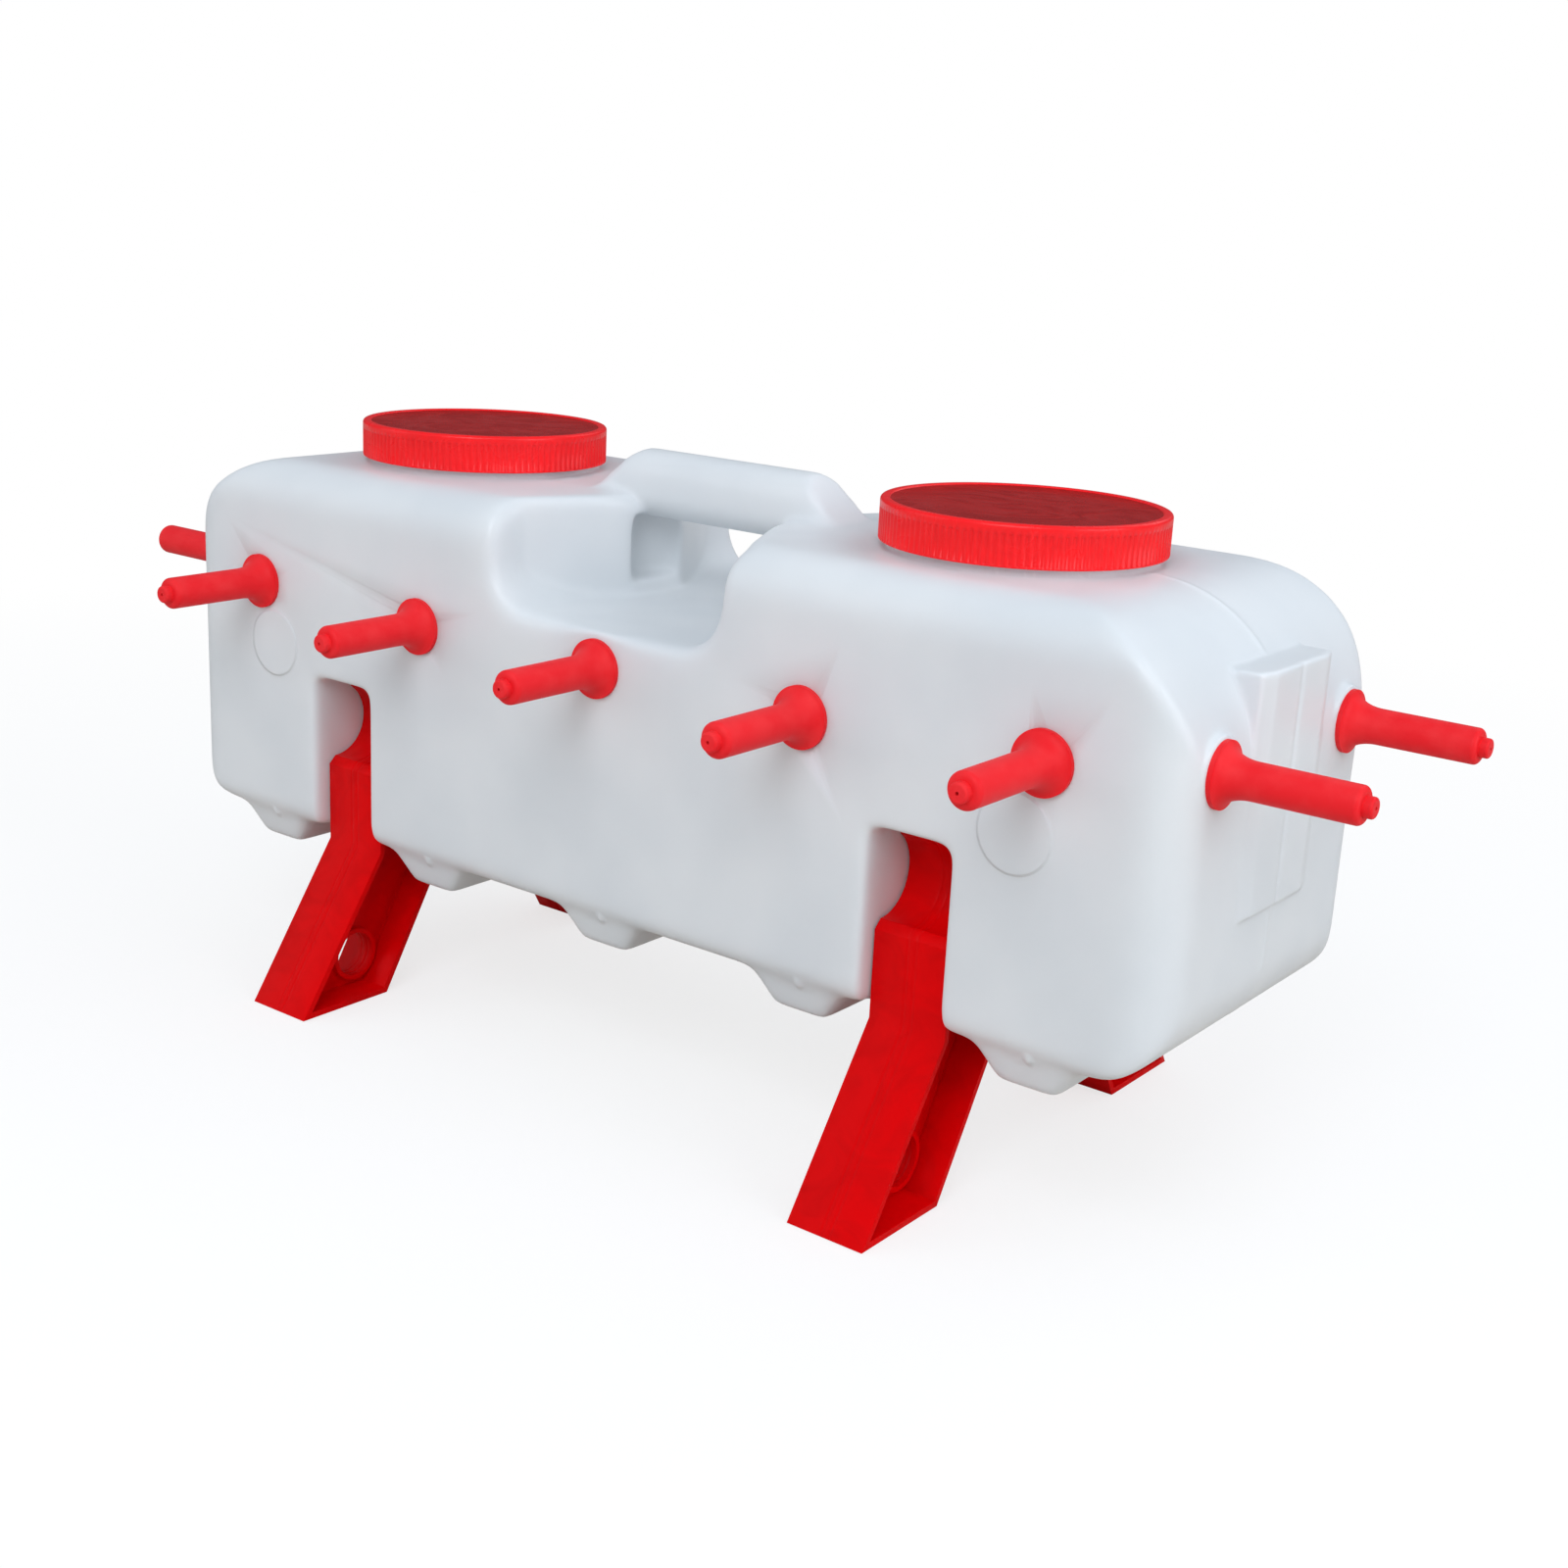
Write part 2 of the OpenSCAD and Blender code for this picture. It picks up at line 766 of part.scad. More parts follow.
for (side = SIDES, row = SIDES) {
    name = str(side < 0 ? "left" : "right", row < 0 ? "_front" : "_back");
    drop = end_teat_z - end_foot_z;
    at_end(side, row * end_teat_y) teat();
    at_end(side, row * end_teat_y) valve();
    color(clear) at_end(side, row * end_teat_y) tube(drop);
}
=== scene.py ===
"""The look of a milk feeder for lambs: a blow-moulded tank on four legs, with teats all round."""

import logging
import math
from dataclasses import dataclass, field
from enum import Enum

import bmesh
import bpy
import numpy as np
from mathutils import Matrix, Vector

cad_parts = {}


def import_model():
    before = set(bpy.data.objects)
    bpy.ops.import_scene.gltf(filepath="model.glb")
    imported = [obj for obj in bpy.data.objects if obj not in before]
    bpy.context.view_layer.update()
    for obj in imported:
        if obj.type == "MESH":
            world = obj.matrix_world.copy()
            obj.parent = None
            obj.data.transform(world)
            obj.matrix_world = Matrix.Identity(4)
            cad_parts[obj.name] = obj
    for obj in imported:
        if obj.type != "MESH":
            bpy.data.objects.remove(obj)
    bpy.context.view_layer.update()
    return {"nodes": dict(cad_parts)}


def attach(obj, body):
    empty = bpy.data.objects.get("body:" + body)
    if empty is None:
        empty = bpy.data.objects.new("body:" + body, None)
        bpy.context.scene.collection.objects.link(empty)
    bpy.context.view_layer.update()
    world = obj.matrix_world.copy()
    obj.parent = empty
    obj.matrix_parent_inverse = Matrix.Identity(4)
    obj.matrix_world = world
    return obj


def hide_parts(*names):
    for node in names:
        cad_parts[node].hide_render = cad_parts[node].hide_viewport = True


log = logging.getLogger("lamb_feeder")

MM = 0.001
SIDES = (-1, 1)
WORDS = ("left", "right")
TANK_NODES = ("tank_left", "tank_middle", "tank_right", "grip")

# Sizes of the feeder that more than one of its pieces needs, in millimetres
MOUTH_X = 210.5
NECK_R = 75.6
LEG_X = 224.0
DISC_X = 288.0
DISC_Z = 230.0
DISC_R = 22.0

# A Mix node's colour sockets by number, because each of its names stands for several
MIX_FIRST = 6
MIX_SECOND = 7
MIX_OUT = 2

# Limits of a zone: out to any distance, and from the middle plane on
OPEN = math.inf
MIDDLE = -1.0


class Slot(Enum):
    """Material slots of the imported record."""

    TANK = "tank_hdpe"
    LID = "lid_red"
    LEG = "leg_red"
    TEAT = "teat_rubber"
    VALVE = "valve_rubber"
    TUBE = "tube_clear"
    SEAL = "seal_foam"


# Finishes


def linear(code: str) -> tuple[float, float, float, float]:
    """Turns an sRGB hex colour into linear light.

    Args:
        code: Six hex digits, two each for red, green and blue.

    Returns:
        Linear red, green, blue and an alpha of 1.
    """
    parts = [int(code[i : i + 2], 16) / 255 for i in (0, 2, 4)]
    light = [c / 12.92 if c <= 0.04045 else ((c + 0.055) / 1.055) ** 2.4 for c in parts]
    return (light[0], light[1], light[2], 1.0)


def per_metre(size_mm: float) -> float:
    """Returns the texture scale that repeats a pattern every size_mm."""
    return 1.0 / (size_mm * MM)


def add_node(
    tree: bpy.types.NodeTree, kind: str,
    settings: dict[str | int, object], links: dict[str | int, object],
) -> bpy.types.Node:
    """Adds one shader node with its settings and links.

    Args:
        tree: The node tree of a material or of the world.
        kind: The node's type name, without the word ShaderNode at its front.
        settings: Values for its properties, or for its input sockets by name or number.
        links: What feeds its input sockets, by name or number. A node stands for its
            first output socket.

    Returns:
        The new node.
    """
    node = tree.nodes.new(f"ShaderNode{kind}")
    for name, value in settings.items():
        if isinstance(name, str) and hasattr(node, name):
            setattr(node, name, value)
        else:
            node.inputs[name].default_value = value
    for name, source in links.items():
        socket = source.outputs[0] if isinstance(source, bpy.types.Node) else source
        tree.links.new(socket, node.inputs[name])
    return node


def blank_material(name: str) -> tuple[bpy.types.Material, bpy.types.NodeTree, bpy.types.NodeSocket]:
    """Makes an empty material.

    Args:
        name: The finish's name.

    Returns:
        The material, its node tree and the socket that gives places on the piece.
    """
    material = bpy.data.materials.new(name)
    material.use_nodes = True
    tree = material.node_tree
    tree.nodes.clear()
    place = add_node(tree, "TexCoord", {}, {})
    return material, tree, place.outputs["Object"]


@dataclass(frozen=True)
class BlowMouldedHdpe:
    """Milky high-density polyethylene, blown against a sand-blasted mould.

    The mould leaves a fine dull grain, the wall lets a little light in, and thicker
    and thinner places show as faint clouds. The grain is drawn coarser than the real
    one, which would be too fine to show.
    """

    name: str = "blow_moulded_hdpe"
    colour: str = "DEE1E3"
    cloud: str = "D6DADD"
    ior: float = 1.54
    roughness: float = 0.42
    glow: float = 0.25
    glow_depth: float = 0.006
    glow_spread: tuple[float, float, float] = (1.0, 1.0, 1.0)
    cloud_mm: float = 90.0
    ripple_mm: float = 34.0
    ripple_depth_mm: float = 0.35
    grain_mm: float = 1.6
    grain_depth_mm: float = 0.02
    disc_edge_mm: float = 0.7
    disc_depth_mm: float = 0.7
    disc_behind_mm: tuple[float, float] = (-110.0, -109.0)

    def discs(
        self, tree: bpy.types.NodeTree, spot: bpy.types.NodeSocket, normal: bpy.types.Node
    ) -> bpy.types.Node:
        """Sharpens the edges of the two round discs on the front wall.

        Args:
            tree: The material's node tree.
            spot: Object coordinates.
            normal: The node that bends the normal so far.

        Returns:
            The node that bends it further.
        """
        parts = add_node(tree, "SeparateXYZ", {}, {0: spot})
        side = add_node(tree, "Math", {"operation": "ABSOLUTE"}, {0: parts.outputs["X"]})
        flat = add_node(tree, "CombineXYZ", {}, {"X": side, "Y": parts.outputs["Z"]})
        middle = (DISC_X * MM, DISC_Z * MM, 0.0)
        away = add_node(tree, "VectorMath", {"operation": "DISTANCE", 1: middle}, {0: flat})
        inside = add_node(
            tree, "MapRange",
            {"From Min": (DISC_R - self.disc_edge_mm) * MM,
             "From Max": (DISC_R + self.disc_edge_mm) * MM, "To Min": 1.0, "To Max": 0.0},
            {"Value": away.outputs["Value"]},
        )
        front = add_node(
            tree, "MapRange",
            {"From Min": self.disc_behind_mm[0] * MM, "From Max": self.disc_behind_mm[1] * MM,
             "To Min": 1.0, "To Max": 0.0},
            {"Value": parts.outputs["Y"]},
        )
        raised = add_node(tree, "Math", {"operation": "MULTIPLY"}, {0: inside, 1: front})
        return add_node(
            tree, "Bump", {"Distance": self.disc_depth_mm * MM}, {"Height": raised, "Normal": normal}
        )

    def build(self) -> bpy.types.Material:
        """Returns the finished material."""
        material, tree, spot = blank_material(self.name)
        clouds = add_node(tree, "TexNoise", {"Scale": per_metre(self.cloud_mm)}, {"Vector": spot})
        grain = add_node(tree, "TexNoise", {"Scale": per_metre(self.grain_mm)}, {"Vector": spot})
        ripple = add_node(
            tree, "TexNoise", {"Scale": per_metre(self.ripple_mm), "Detail": 1.0}, {"Vector": spot}
        )
        wavy = add_node(tree, "Bump", {"Distance": self.ripple_depth_mm * MM}, {"Height": ripple})
        grained = add_node(
            tree, "Bump", {"Distance": self.grain_depth_mm * MM}, {"Height": grain, "Normal": wavy}
        )
        shine = add_node(
            tree, "MapRange",
            {"From Min": 0.3, "From Max": 0.7,
             "To Min": self.roughness - 0.04, "To Max": self.roughness + 0.05},
            {"Value": clouds},
        )
        thick = add_node(tree, "MapRange", {"From Min": 0.35, "From Max": 0.65}, {"Value": clouds})
        tint = add_node(
            tree, "Mix",
            {"data_type": "RGBA", MIX_FIRST: linear(self.colour), MIX_SECOND: linear(self.cloud)},
            {0: thick},
        )
        shader = add_node(
            tree, "BsdfPrincipled",
            {"IOR": self.ior, "Subsurface Weight": self.glow, "Subsurface Scale": self.glow_depth,
             "Subsurface Radius": self.glow_spread},
            {"Base Color": tint.outputs[MIX_OUT], "Roughness": shine,
             "Normal": self.discs(tree, spot, grained)},
        )
        add_node(tree, "OutputMaterial", {}, {"Surface": shader})
        return material


@dataclass(frozen=True)
class MouldedPolypropylene:
    """Red polypropylene from an injection mould.

    A mould with a high polish leaves it glossy, with faint flow lines where the plastic met,
    and thick walls sink a little as they cool. The grain is drawn coarser than the
    real one, which would be too fine to show.
    """

    name: str
    colour: str
    dark: str
    roughness: float
    shine: float = 0.3
    ior: float = 1.49
    glow: float = 0.05
    glow_depth: float = 0.002
    flow_mm: float = 30.0
    flow_depth_mm: float = 0.25
    swirl: float = 1.6
    grain_mm: float = 0.9
    grain_depth_mm: float = 0.01
    sink_x_mm: float | None = None
    sink_half_gap_mm: float = 2.6
    sink_w_mm: float = 1.4
    sink_depth_mm: float = 0.3

    def sinks(
        self, tree: bpy.types.NodeTree, spot: bpy.types.NodeSocket, normal: bpy.types.Node
    ) -> bpy.types.Node:
        """Bends the normal along two shallow lines, where the wall sinks over the web's edges.

        Args:
            tree: The material's node tree.
            spot: Object coordinates.
            normal: The node that bends the normal so far.

        Returns:
            The node that bends it further.
        """
        off = add_node(tree, "SeparateXYZ", {}, {0: spot})
        for middle in (self.sink_x_mm, self.sink_half_gap_mm):
            away = add_node(tree, "Math", {"operation": "ABSOLUTE"}, {0: off})
            off = add_node(tree, "Math", {"operation": "SUBTRACT", 1: middle * MM}, {0: away})
        away = add_node(tree, "Math", {"operation": "ABSOLUTE"}, {0: off})
        height = add_node(tree, "MapRange", {"From Max": self.sink_w_mm * MM}, {"Value": away})
        return add_node(
            tree, "Bump", {"Distance": self.sink_depth_mm * MM}, {"Height": height, "Normal": normal}
        )

    def build(self) -> bpy.types.Material:
        """Returns the finished material."""
        material, tree, spot = blank_material(self.name)
        flow = add_node(
            tree, "TexNoise",
            {"Scale": per_metre(self.flow_mm), "Detail": 3.0, "Distortion": self.swirl},
            {"Vector": spot},
        )
        grain = add_node(tree, "TexNoise", {"Scale": per_metre(self.grain_mm)}, {"Vector": spot})
        wavy = add_node(tree, "Bump", {"Distance": self.flow_depth_mm * MM}, {"Height": flow})
        normal = add_node(
            tree, "Bump", {"Distance": self.grain_depth_mm * MM}, {"Height": grain, "Normal": wavy}
        )
        if self.sink_x_mm is not None:
            normal = self.sinks(tree, spot, normal)
        dull = add_node(
            tree, "MapRange",
            {"From Min": 0.35, "From Max": 0.65,
             "To Min": self.roughness - 0.05, "To Max": self.roughness + 0.06},
            {"Value": flow},
        )
        streak = add_node(tree, "MapRange", {"From Min": 0.4, "From Max": 0.75}, {"Value": flow})
        tint = add_node(
            tree, "Mix",
            {"data_type": "RGBA", MIX_FIRST: linear(self.colour), MIX_SECOND: linear(self.dark)},
            {0: streak},
        )
        shader = add_node(
            tree, "BsdfPrincipled",
            {"IOR": self.ior, "Specular IOR Level": self.shine,
             "Subsurface Weight": self.glow, "Subsurface Scale": self.glow_depth},
            {"Base Color": tint.outputs[MIX_OUT], "Roughness": dull, "Normal": normal},
        )
        add_node(tree, "OutputMaterial", {}, {"Surface": shader})
        return material


@dataclass(frozen=True)
class MouldedRubber:
    """Soft rubber from a compression mould.

    It is matt and a little uneven, with a fine bloom that lightens it in patches. The
    grain is drawn coarser than the real one, which would be too fine to show.
    """

    name: str
    colour: str
    bloom: str
    roughness: float = 0.52
    shine: float = 0.15
    ior: float = 1.52
    glow: float = 0.08
    glow_depth: float = 0.002
    glow_spread: tuple[float, float, float] = (1.0, 0.3, 0.2)
    bloom_mm: float = 14.0
    grain_mm: float = 1.1
    grain_depth_mm: float = 0.03

    def build(self) -> bpy.types.Material:
        """Returns the finished material."""
        material, tree, spot = blank_material(self.name)
        bloom = add_node(
            tree, "TexNoise", {"Scale": per_metre(self.bloom_mm), "Detail": 3.0}, {"Vector": spot}
        )
        grain = add_node(
            tree, "TexNoise", {"Scale": per_metre(self.grain_mm), "Detail": 3.0}, {"Vector": spot}
        )
        grained = add_node(tree, "Bump", {"Distance": self.grain_depth_mm * MM}, {"Height": grain})
        shine = add_node(
            tree, "MapRange",
            {"From Min": 0.3, "From Max": 0.7,
             "To Min": self.roughness - 0.06, "To Max": self.roughness + 0.08},
            {"Value": bloom},
        )
        patch = add_node(tree, "MapRange", {"From Min": 0.4, "From Max": 0.7}, {"Value": bloom})
        tint = add_node(
            tree, "Mix",
            {"data_type": "RGBA", MIX_FIRST: linear(self.colour), MIX_SECOND: linear(self.bloom)},
            {0: patch},
        )
        shader = add_node(
            tree, "BsdfPrincipled",
            {"IOR": self.ior, "Specular IOR Level": self.shine,
             "Subsurface Weight": self.glow, "Subsurface Scale": self.glow_depth,
             "Subsurface Radius": self.glow_spread},
            {"Base Color": tint.outputs[MIX_OUT], "Roughness": shine, "Normal": grained},
        )
        add_node(tree, "OutputMaterial", {}, {"Surface": shader})
        return material


@dataclass(frozen=True)
class ExtrudedPolyethylene:
    """Milky polyethylene as an extruded tube or a cut foam ring.

    It is softly coloured, and a fine grain breaks up its shine.
    """

    name: str
    colour: str
    shade: str
    roughness: float
    see_through: float = 0.0
    ior: float = 1.51
    grain_mm: float = 1.4
    grain_depth_mm: float = 0.04

    def build(self) -> bpy.types.Material:
        """Returns the finished material."""
        material, tree, spot = blank_material(self.name)
        grain = add_node(
            tree, "TexNoise", {"Scale": per_metre(self.grain_mm), "Detail": 3.0}, {"Vector": spot}
        )
        grained = add_node(tree, "Bump", {"Distance": self.grain_depth_mm * MM}, {"Height": grain})
        dull = add_node(
            tree, "MapRange",
            {"From Min": 0.3, "From Max": 0.7,
             "To Min": self.roughness, "To Max": self.roughness + 0.1},
            {"Value": grain},
        )
        tint = add_node(
            tree, "Mix",
            {"data_type": "RGBA", MIX_FIRST: linear(self.colour), MIX_SECOND: linear(self.shade)},
            {0: grain},
        )
        shader = add_node(
            tree, "BsdfPrincipled", {"IOR": self.ior, "Transmission Weight": self.see_through},
            {"Base Color": tint.outputs[MIX_OUT], "Roughness": dull, "Normal": grained},
        )
        add_node(tree, "OutputMaterial", {}, {"Surface": shader})
        return material


# Bench tools


def hold(obj: bpy.types.Object) -> None:
    """Deselects everything, then selects obj alone and makes it active."""
    for other in bpy.context.selected_objects:
        other.select_set(False)
    obj.select_set(True)
    bpy.context.view_layer.objects.active = obj


def apply_modifier(obj: bpy.types.Object, kind: str, **settings: object) -> None:
    """Adds one modifier with its settings and applies it.

    Args:
        obj: The piece.
        kind: The modifier's type name.
        **settings: Its properties.
    """
    hold(obj)
    modifier = obj.modifiers.new(kind.lower(), kind)
    for name, value in settings.items():
        setattr(modifier, name, value)
    bpy.ops.object.modifier_apply(modifier=modifier.name)


def copy_of(source: bpy.types.Object, name: str) -> bpy.types.Object:
    """Copies an object with its own mesh, free of its body.

    Args:
        source: The object to copy.
        name: The copy's name.

    Returns:
        The copy, linked to the scene.
    """
    piece = bpy.data.objects.new(name, source.data.copy())
    piece.data.name = name
    bpy.context.scene.collection.objects.link(piece)
    return piece


def weld(obj: bpy.types.Object, distance_mm: float = 0.02) -> None:
    """Merges the loose triangles of a copied CAD mesh.

    Args:
        obj: The copy.
        distance_mm: How near two corners are merged.
    """
    hold(obj)
    bpy.ops.object.mode_set(mode="EDIT")
    bpy.ops.mesh.select_all(action="SELECT")
    bpy.ops.mesh.remove_doubles(threshold=distance_mm * MM)
    bpy.ops.mesh.customdata_custom_splitnormals_clear()
    bpy.ops.object.mode_set(mode="OBJECT")


def turned_piece(
    name: str, centre: Vector, profile: list[tuple[float, float]], corners: int
) -> bpy.types.Object:
    """Turns a profile about an upright axis, ring by ring, from a circle.

    Args:
        name: The piece's name.
        centre: A point on the axis.
        profile: Radius and height above centre of each ring, from first to last.
        corners: Corners of each ring.

    Returns:
        The piece with open ends.
    """
    radius, height = profile[0]
    bpy.ops.object.select_all(action="DESELECT")
    bpy.ops.mesh.primitive_circle_add(
        vertices=corners, radius=radius, fill_type="NOTHING",
        location=(centre.x, centre.y, centre.z + height),
    )
    piece = bpy.context.active_object
    piece.name = name
    piece.data.name = name
    bpy.ops.object.mode_set(mode="EDIT")
    bpy.ops.mesh.select_all(action="SELECT")
    for next_radius, next_height in profile[1:]:
        bpy.ops.mesh.extrude_edges_move(
            TRANSFORM_OT_translate={"value": (0, 0, next_height - height)}
        )
        grow = next_radius / radius
        bpy.ops.transform.resize(
            value=(grow, grow, 1), center_override=(centre.x, centre.y, centre.z + next_height)
        )
        radius, height = next_radius, next_height
    bpy.ops.object.mode_set(mode="OBJECT")
    bpy.ops.object.transform_apply(location=True, rotation=True, scale=True)
    return piece


def close_up(obj: bpy.types.Object, distance_mm: float = 0.001) -> None:
    """Merges doubles and turns every face outward.

    Args:
        obj: A closed piece.
        distance_mm: How near two corners are merged.
    """
    hold(obj)
    bpy.ops.object.mode_set(mode="EDIT")
    bpy.ops.mesh.select_all(action="SELECT")
    bpy.ops.mesh.remove_doubles(threshold=distance_mm * MM)
    bpy.ops.mesh.normals_make_consistent(inside=False)
    bpy.ops.object.mode_set(mode="OBJECT")


def smooth(obj: bpy.types.Object, degrees: float) -> None:
    """Shades a piece smooth, apart from edges sharper than degrees."""
    hold(obj)
    bpy.ops.object.shade_smooth_by_angle(angle=math.radians(degrees))


def dress(obj: bpy.types.Object, material: bpy.types.Material) -> None:
    """Gives an object one material in every slot."""
    if not obj.material_slots:
        obj.data.materials.append(material)
    for slot in obj.material_slots:
        slot.material = material


def put_on(
    piece: bpy.types.Object, material: bpy.types.Material, slot: Slot, body: str, *nodes: str
) -> None:
    """Dresses a new piece, makes it ride on its body and stand for its CAD nodes.

    Args:
        piece: The new piece.
        material: Its finish.
        slot: The record's material slot; not used.
        body: The CAD body that carries it.
        *nodes: CAD nodes that it replaces.
    """
    piece.data.materials.clear()
    piece.data.materials.append(material)
    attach(piece, body)
    if nodes:
        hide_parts(*nodes)
    log.info("%s: %d faces, on body %s", piece.name, len(piece.data.polygons), body)


def eased(value: np.ndarray, start: float, end: float) -> np.ndarray:
    """Returns 0 below start and 1 above end, with a soft step between."""
    t = np.clip((value - start) / (end - start), 0.0, 1.0)
    return t * t * (3 - 2 * t)


# The pieces


@dataclass
class Teats:
    """The fourteen rubber teats. Sizes are in millimetres."""

    pitch: float = 150.0
    corner_shift: float = 1.0
    middle_z: float = 264.0
    corner_z: float = 270.0
    end_z: float = 273.0
    wall_y: float = 117.0
    wall_x: float = 379.0
    end_y: float = 78.0

    def places(self) -> dict[str, tuple[Vector, bool]]:
        """Returns each teat's point on the wall, in millimetres, and whether it is on an end."""
        found = {}
        for column in range(-2, 3):
            outer = abs(column) == 2
            x = column * self.pitch + (math.copysign(self.corner_shift, column) if outer else 0)
            z = self.corner_z if outer else self.middle_z
            found[f"front_{column + 3}"] = (Vector((x, -self.wall_y, z)), False)
            found[f"back_{column + 3}"] = (Vector((x, self.wall_y, z)), False)
        for side, word in zip(SIDES, WORDS):
            for row, end in zip(SIDES, ("front", "back")):
                spot = Vector((side * self.wall_x, row * self.end_y, self.end_z))
                found[f"{word}_{end}"] = (spot, True)
        return found

    def build(self, nodes: dict[str, bpy.types.Object], rubber: bpy.types.Material) -> None:
        """Dresses the CAD teats.

        Args:
            nodes: The CAD nodes by name.
            rubber: The teats' finish.
        """
        for name in self.places():
            dress(nodes[f"teat_{name}"], rubber)
        log.info("teats: %d dressed", len(self.places()))


@dataclass(frozen=True)
class HeldZone:
    """A box on each side of the middle planes whose edges the smoothing mostly spares.

    Its corners low and high are distances from those planes, in millimetres, and most is
    the highest softness in it.
    """

    name: str
    most: float
    low: tuple[float, float, float]
    high: tuple[float, float, float]

    def holds(self, spots: np.ndarray) -> np.ndarray:
        """Returns which of the corners, given in millimetres, lie in the zone."""
        away = np.abs(spots)
        return np.all((away > self.low) & (away < self.high), axis=1)


@dataclass
class Tank:
    """The blow-moulded tank, softened as the mould leaves it. Sizes are in millimetres.

    A pair of numbers is where a change begins and where it is complete.
    """

    voxel: float = 1.3
    passes: int = 160
    pull: float = 0.9
    softness: float = 0.4
    triangles: int = 190_000
    weight_steps: int = 50
    dimple_x: float = 5.0
    dimple_z: float = 109.5
    dimple_r: float = 5.0
    dimple_out: float = 1.6
    dimple_behind: float = 9.0
    neck_low_z: float = 340.0
    neck_away: tuple[float, float] = (6.0, 16.0)
    teat_away: tuple[float, float] = (16.0, 45.0)
    teat_depth: float = 24.0
    disc_front_y: float = -112.0
    disc_rim: float = 4.0
    disc_softness: float = 0.02
    flare_x: tuple[float, float] = (110.0, 133.0)
    flare_y: tuple[float, float] = (85.0, 100.0)
    flare_z: tuple[float, float] = (246.0, 271.0)
    zones: tuple[HeldZone, ...] = (
        HeldZone("leg_slots", 0.05, (LEG_X - 32, 50, MIDDLE), (LEG_X + 32, 100, 221)),
        HeldZone("end_grips", 0.03, (355, MIDDLE, 180), (OPEN, 50, 326)),
        HeldZone("handle", 0.15, (MIDDLE, MIDDLE, 330), (74, 24, OPEN)),
        HeldZone("parting_bead", 0.02, (285, MIDDLE, MIDDLE), (OPEN, 4.5, OPEN)),
    )
    teats: Teats = field(default_factory=Teats)

    def softening(self, spots: np.ndarray) -> np.ndarray:
        """Works out how much each corner of the mesh may be smoothed.

        Args:
            spots: The corners' places in millimetres, one row each.

        Returns:
            A weight from 0 to 1 for each corner.
        """
        x, y, z = spots.T
        # The saddle's edges flare widely onto the front and back walls
        flare = (
            eased(np.abs(y), *self.flare_y)
            * (1 - eased(np.abs(x), *self.flare_x))
            * eased(z, *self.flare_z)
        )
        soft = np.maximum(self.softness, flare)
        for zone in self.zones:
            held = zone.holds(spots)
            soft[held] = np.minimum(soft[held], zone.most)
            log.info("%s: %d corners held", zone.name, np.count_nonzero(held))
        rim = np.abs(np.hypot(np.abs(x) - DISC_X, z - DISC_Z) - DISC_R) < self.disc_rim
        soft[rim & (y < self.disc_front_y)] = self.disc_softness
        near = z > self.neck_low_z
        from_neck = np.abs(np.hypot(np.abs(x) - MOUTH_X, y) - NECK_R)
        soft[near] *= eased(from_neck[near], *self.neck_away)
        for spot, on_end in self.teats.places().values():
            across, along = (y - spot.y, x - spot.x) if on_end else (x - spot.x, y - spot.y)
            away = np.hypot(across, z - spot.z)
            near = np.abs(along) < self.teat_depth
            soft[near] *= eased(away[near], *self.teat_away)
        return soft

    def dimples(self, spots: np.ndarray) -> np.ndarray:
        """Works out how far each corner stands out in the small round marks on the sumps.

        Args:
            spots: The corners' places in millimetres, one row each.

        Returns:
            A weight from 0 to 1 for each corner.
        """
        x, y, z = spots.T
        weight = np.zeros(len(spots))
        outside = np.abs(y) > self.teats.wall_y - self.dimple_behind
        for column in range(-2, 3):
            away = np.hypot(np.abs(x - column * self.teats.pitch - self.dimple_x), z - self.dimple_z)
            weight = np.maximum(weight, 1 - eased(away, 0, self.dimple_r))
        return weight * outside

    def join_moulding(self, nodes: dict[str, bpy.types.Object]) -> bpy.types.Object:
        """Copies the tank's CAD pieces and unites them into the one moulding that they are.

        Args:
            nodes: The CAD nodes by name.

        Returns:
            The joined shell.
        """
        parts = [copy_of(nodes[name], f"{name}_copy") for name in TANK_NODES]
        for part in parts:
            weld(part)
        shell = parts[0]
        for part in parts[1:]:
            apply_modifier(shell, "BOOLEAN", operation="UNION", object=part, solver="EXACT")
            bpy.data.objects.remove(part)
        shell.name = shell.data.name = "tank_shell"
        return shell

    def weigh(self, shell: bpy.types.Object, name: str, weights: np.ndarray) -> str:
        """Gives a shell's corners a group of weights, in even steps.

        Args:
            shell: The tank's mesh.
            name: The group's name.
            weights: A weight from 0 to 1 for each corner.

        Returns:
            The group's name.
        """
        group = shell.vertex_groups.new(name=name)
        steps = np.round(weights * self.weight_steps).astype(int)
        for step in np.unique(steps):
            corners = np.flatnonzero(steps == step).tolist()
            group.add(corners, step / self.weight_steps, "REPLACE")
        return group.name

